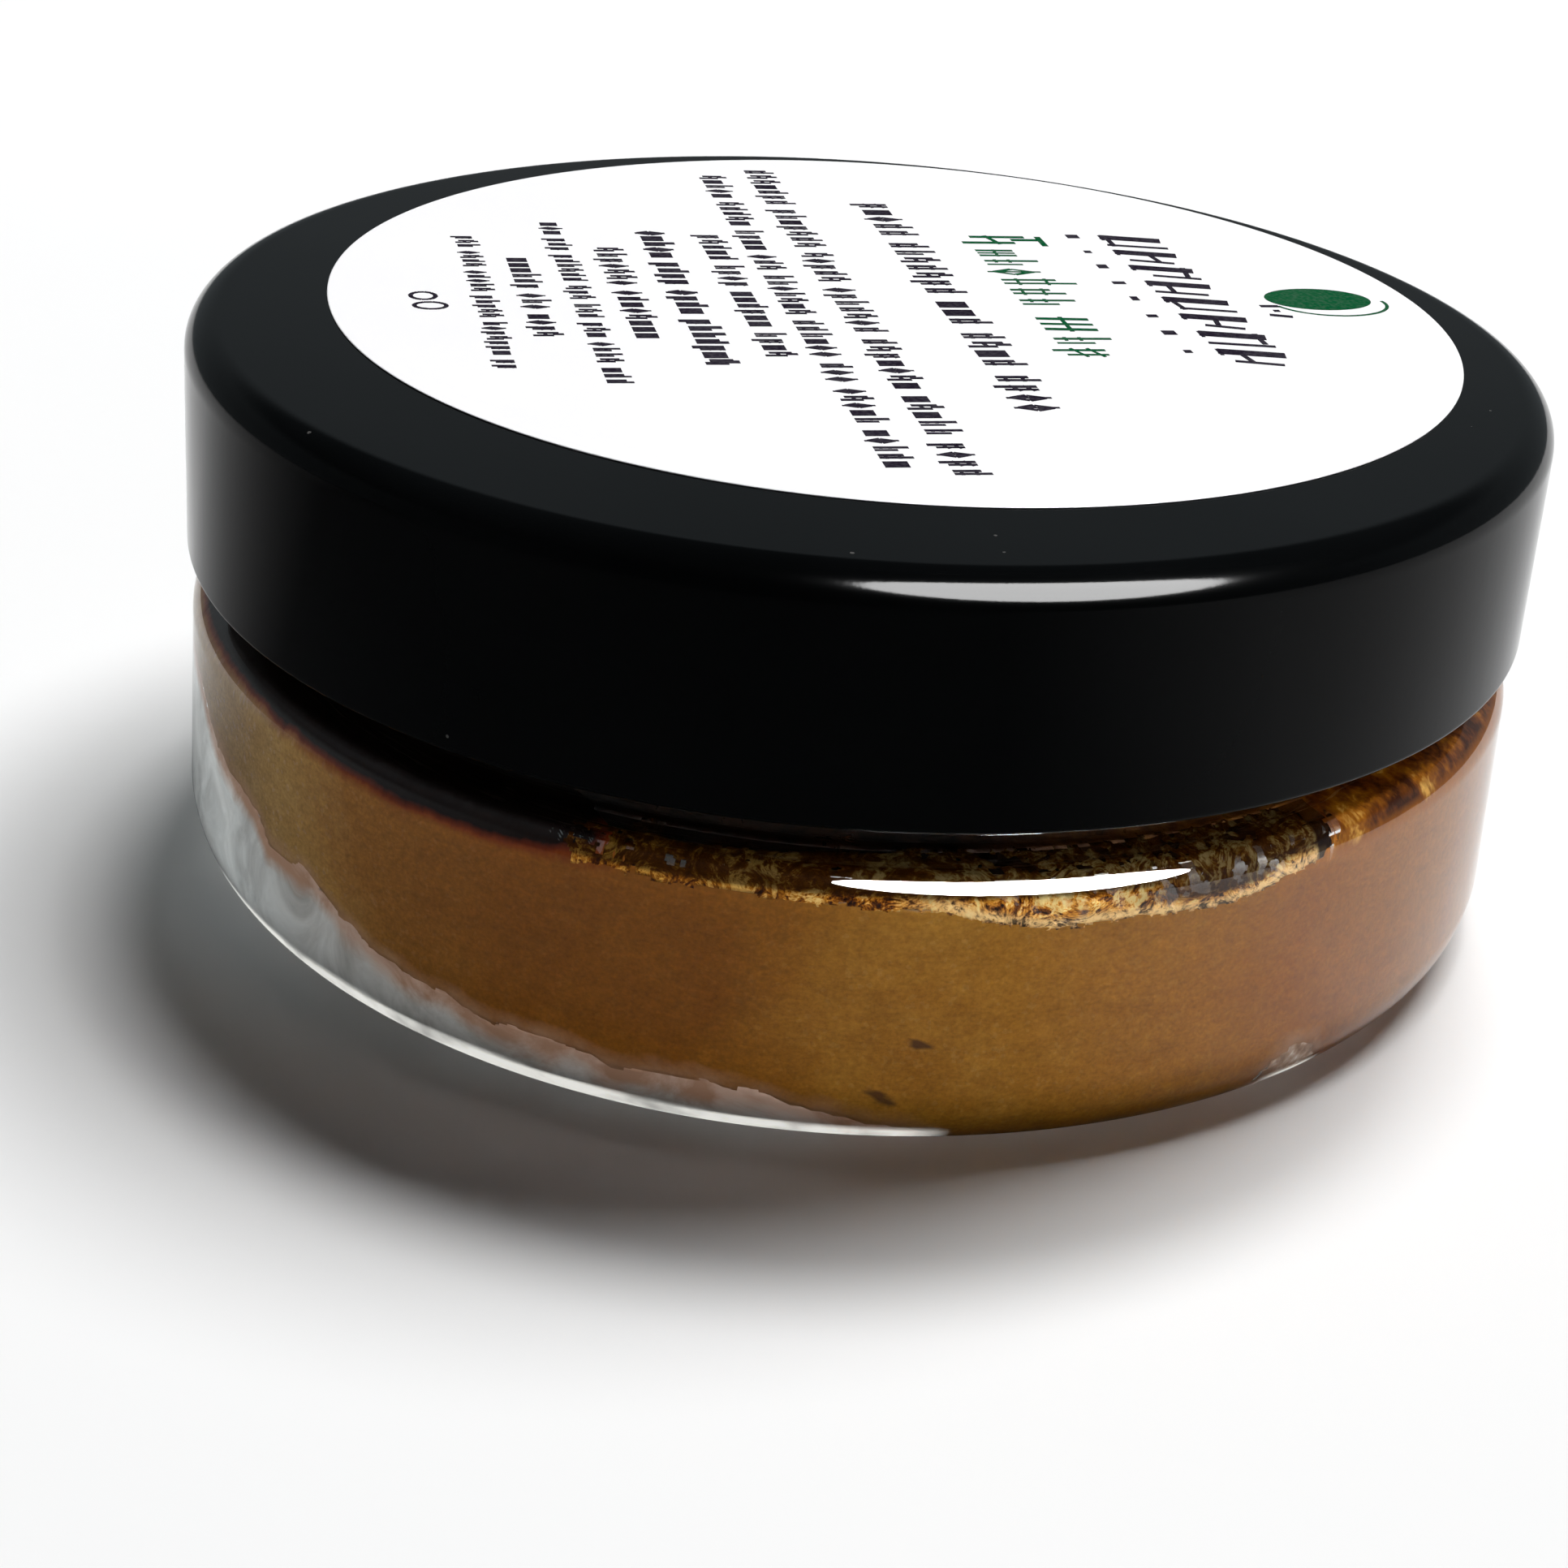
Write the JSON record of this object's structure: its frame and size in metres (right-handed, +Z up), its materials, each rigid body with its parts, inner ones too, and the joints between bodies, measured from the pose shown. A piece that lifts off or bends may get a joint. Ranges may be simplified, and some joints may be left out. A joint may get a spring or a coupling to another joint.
{
  "type": "wax jar",
  "caption": "Low clear screw-top jar of metallic wax polish with a black screw lid, foam liner and offset round paper label.",
  "frame": {"origin": "centre of the circle the jar stands on", "axes": "+Z up along the axis of the jar and its lid; the lid label is offset towards +Y and a little towards +X, and the reader of the printed label's longest lines looks from -X; the usual viewing side is -Y"},
  "size_m": [0.0592, 0.0592, 0.0243],
  "materials": {
    "clear_plastic": "clear, glossy, thin-walled",
    "black_plastic": "satin black",
    "white_foam": "soft closed-cell foam",
    "label_paper": "satin label stock",
    "base_paper": "matte label stock",
    "copper_wax": "metallic copper-brown wax paste"
  },
  "bodies": {
    "jar": {"jar_body": "clear_plastic", "wax_fill": "copper_wax", "base_label": "base_paper"},
    "liner": {"lid_liner": "white_foam"},
    "lid": {"screw_lid": "black_plastic", "lid_label": "label_paper"}
  },
  "joints": [
    {"name": "lid_rise", "type": "slide", "parent": "jar", "child": "liner", "axis": [0, 0, 1], "range_m": [0, 0.01002]},
    {"name": "lid_turn", "type": "hinge", "parent": "liner", "child": "lid", "pos_m": [0, 0, 0.0189], "axis": [0, 0, 1], "range_deg": [0, 900]}
  ],
  "couplings": [
    {"joint": "lid_rise", "follows": "lid_turn", "m_per_rad": 0.00063662}
  ]
}
